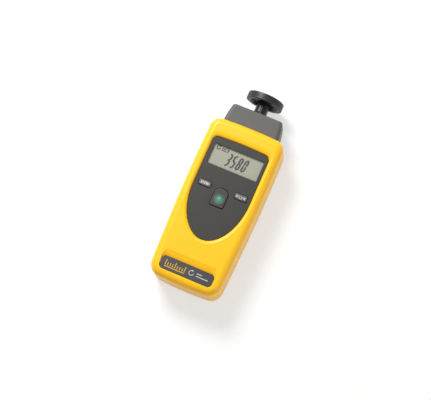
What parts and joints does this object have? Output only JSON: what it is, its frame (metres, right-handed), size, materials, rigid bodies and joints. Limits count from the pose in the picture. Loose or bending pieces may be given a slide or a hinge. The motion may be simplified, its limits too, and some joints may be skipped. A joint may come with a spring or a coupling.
{
  "type": "contact tachometer",
  "caption": "Hand-held tachometer: a moulded case with a display and keys, and a plug-in adapter whose shaft carries a rubber-tyred measuring wheel.",
  "frame": {"origin": "middle of the object's box seen from the front, on the plane of the back face", "axes": "+X to the right of the display, +Y along the case towards the measuring wheel, +Z out of the display"},
  "size_m": [0.066, 0.1756, 0.036],
  "materials": {
    "case_plastic": "moulded ABS, fine texture, satin",
    "fascia_plastic": "moulded plastic, fine matt texture",
    "window_plastic": "clear acrylic",
    "label_film": "printed film, satin",
    "display_glass": "liquid crystal glass with reflecting back",
    "black_plastic": "moulded plastic, matt",
    "strip_rubber": "layered conductive silicone",
    "key_plastic": "moulded plastic, satin",
    "marker_plastic": "translucent green plastic",
    "mat_rubber": "moulded silicone",
    "board_laminate": "glass fibre laminate with green solder mask",
    "chip_resin": "moulded resin",
    "part_can": "drawn can",
    "cell_jacket": "printed jacket over a steel can",
    "spring_wire": "nickel plated wire and strip",
    "emitter_resin": "tinted clear resin",
    "detector_resin": "dark clear resin",
    "sensor_plastic": "red filter plastic",
    "adapter_plastic": "moulded plastic, fine matt texture",
    "bright_steel": "ground bright steel",
    "wheel_plastic": "moulded plastic, satin",
    "tyre_rubber": "moulded rubber",
    "screw_steel": "zinc plated steel"
  },
  "bodies": {
    "case": {"front_case": "case_plastic", "rear_case": "case_plastic", "fascia": "fascia_plastic", "display_window": "window_plastic", "label_plate": "label_film", "lcd_panel": "display_glass", "lcd_frame": "black_plastic", "contact_strips": "strip_rubber", "key_mat": "mat_rubber", "main_board": "board_laminate", "processor_chip": "chip_resin", "board_parts": "part_can", "battery_cells": "cell_jacket", "battery_springs": "spring_wire", "battery_contacts": "spring_wire", "sensor_board": "board_laminate", "sensor_holder": "black_plastic", "light_emitter": "emitter_resin", "light_detector": "detector_resin", "sensor_window": "sensor_plastic", "case_screws": "screw_steel", "board_screws": "screw_steel"},
    "door": {"battery_door": "case_plastic"},
    "left_button": {"left_key": "key_plastic"},
    "right_button": {"right_key": "key_plastic"},
    "measure_button": {"measure_key": "key_plastic", "measure_marker": "marker_plastic"},
    "adapter": {"adapter_housing": "adapter_plastic", "adapter_base": "adapter_plastic", "bearing_outer_rings": "bright_steel", "bearing_balls": "bright_steel", "bearing_spacer": "bright_steel", "bearing_ring": "spring_wire", "adapter_screws": "screw_steel"},
    "spindle": {"drive_shaft": "bright_steel", "bearing_inner_rings": "bright_steel", "shaft_clip": "spring_wire", "encoder_disc": "black_plastic"},
    "wheel": {"contact_wheel": "wheel_plastic", "wheel_tyre": "tyre_rubber"}
  },
  "joints": [
    {"name": "door_slide", "type": "slide", "parent": "case", "child": "door", "axis": [0, -1, 0], "range_m": [0, 0.118]},
    {"name": "left_press", "type": "slide", "parent": "case", "child": "left_button", "axis": [0, 0, -1], "range_m": [0, 0.0008], "stiffness_N_per_m": 1500},
    {"name": "right_press", "type": "slide", "parent": "case", "child": "right_button", "axis": [0, 0, -1], "range_m": [0, 0.0008], "stiffness_N_per_m": 1500},
    {"name": "measure_press", "type": "slide", "parent": "case", "child": "measure_button", "axis": [0, 0, -1], "range_m": [0, 0.0008], "stiffness_N_per_m": 1500},
    {"name": "adapter_pull", "type": "slide", "parent": "case", "child": "adapter", "axis": [0, 1, 0], "range_m": [0, 0.014]},
    {"name": "shaft_spin", "type": "hinge", "parent": "adapter", "child": "spindle", "pos_m": [0, 0.06, 0.018], "axis": [0, 1, 0], "continuous": true},
    {"name": "wheel_pull", "type": "slide", "parent": "spindle", "child": "wheel", "axis": [0, 1, 0], "range_m": [0, 0.0125]}
  ]
}
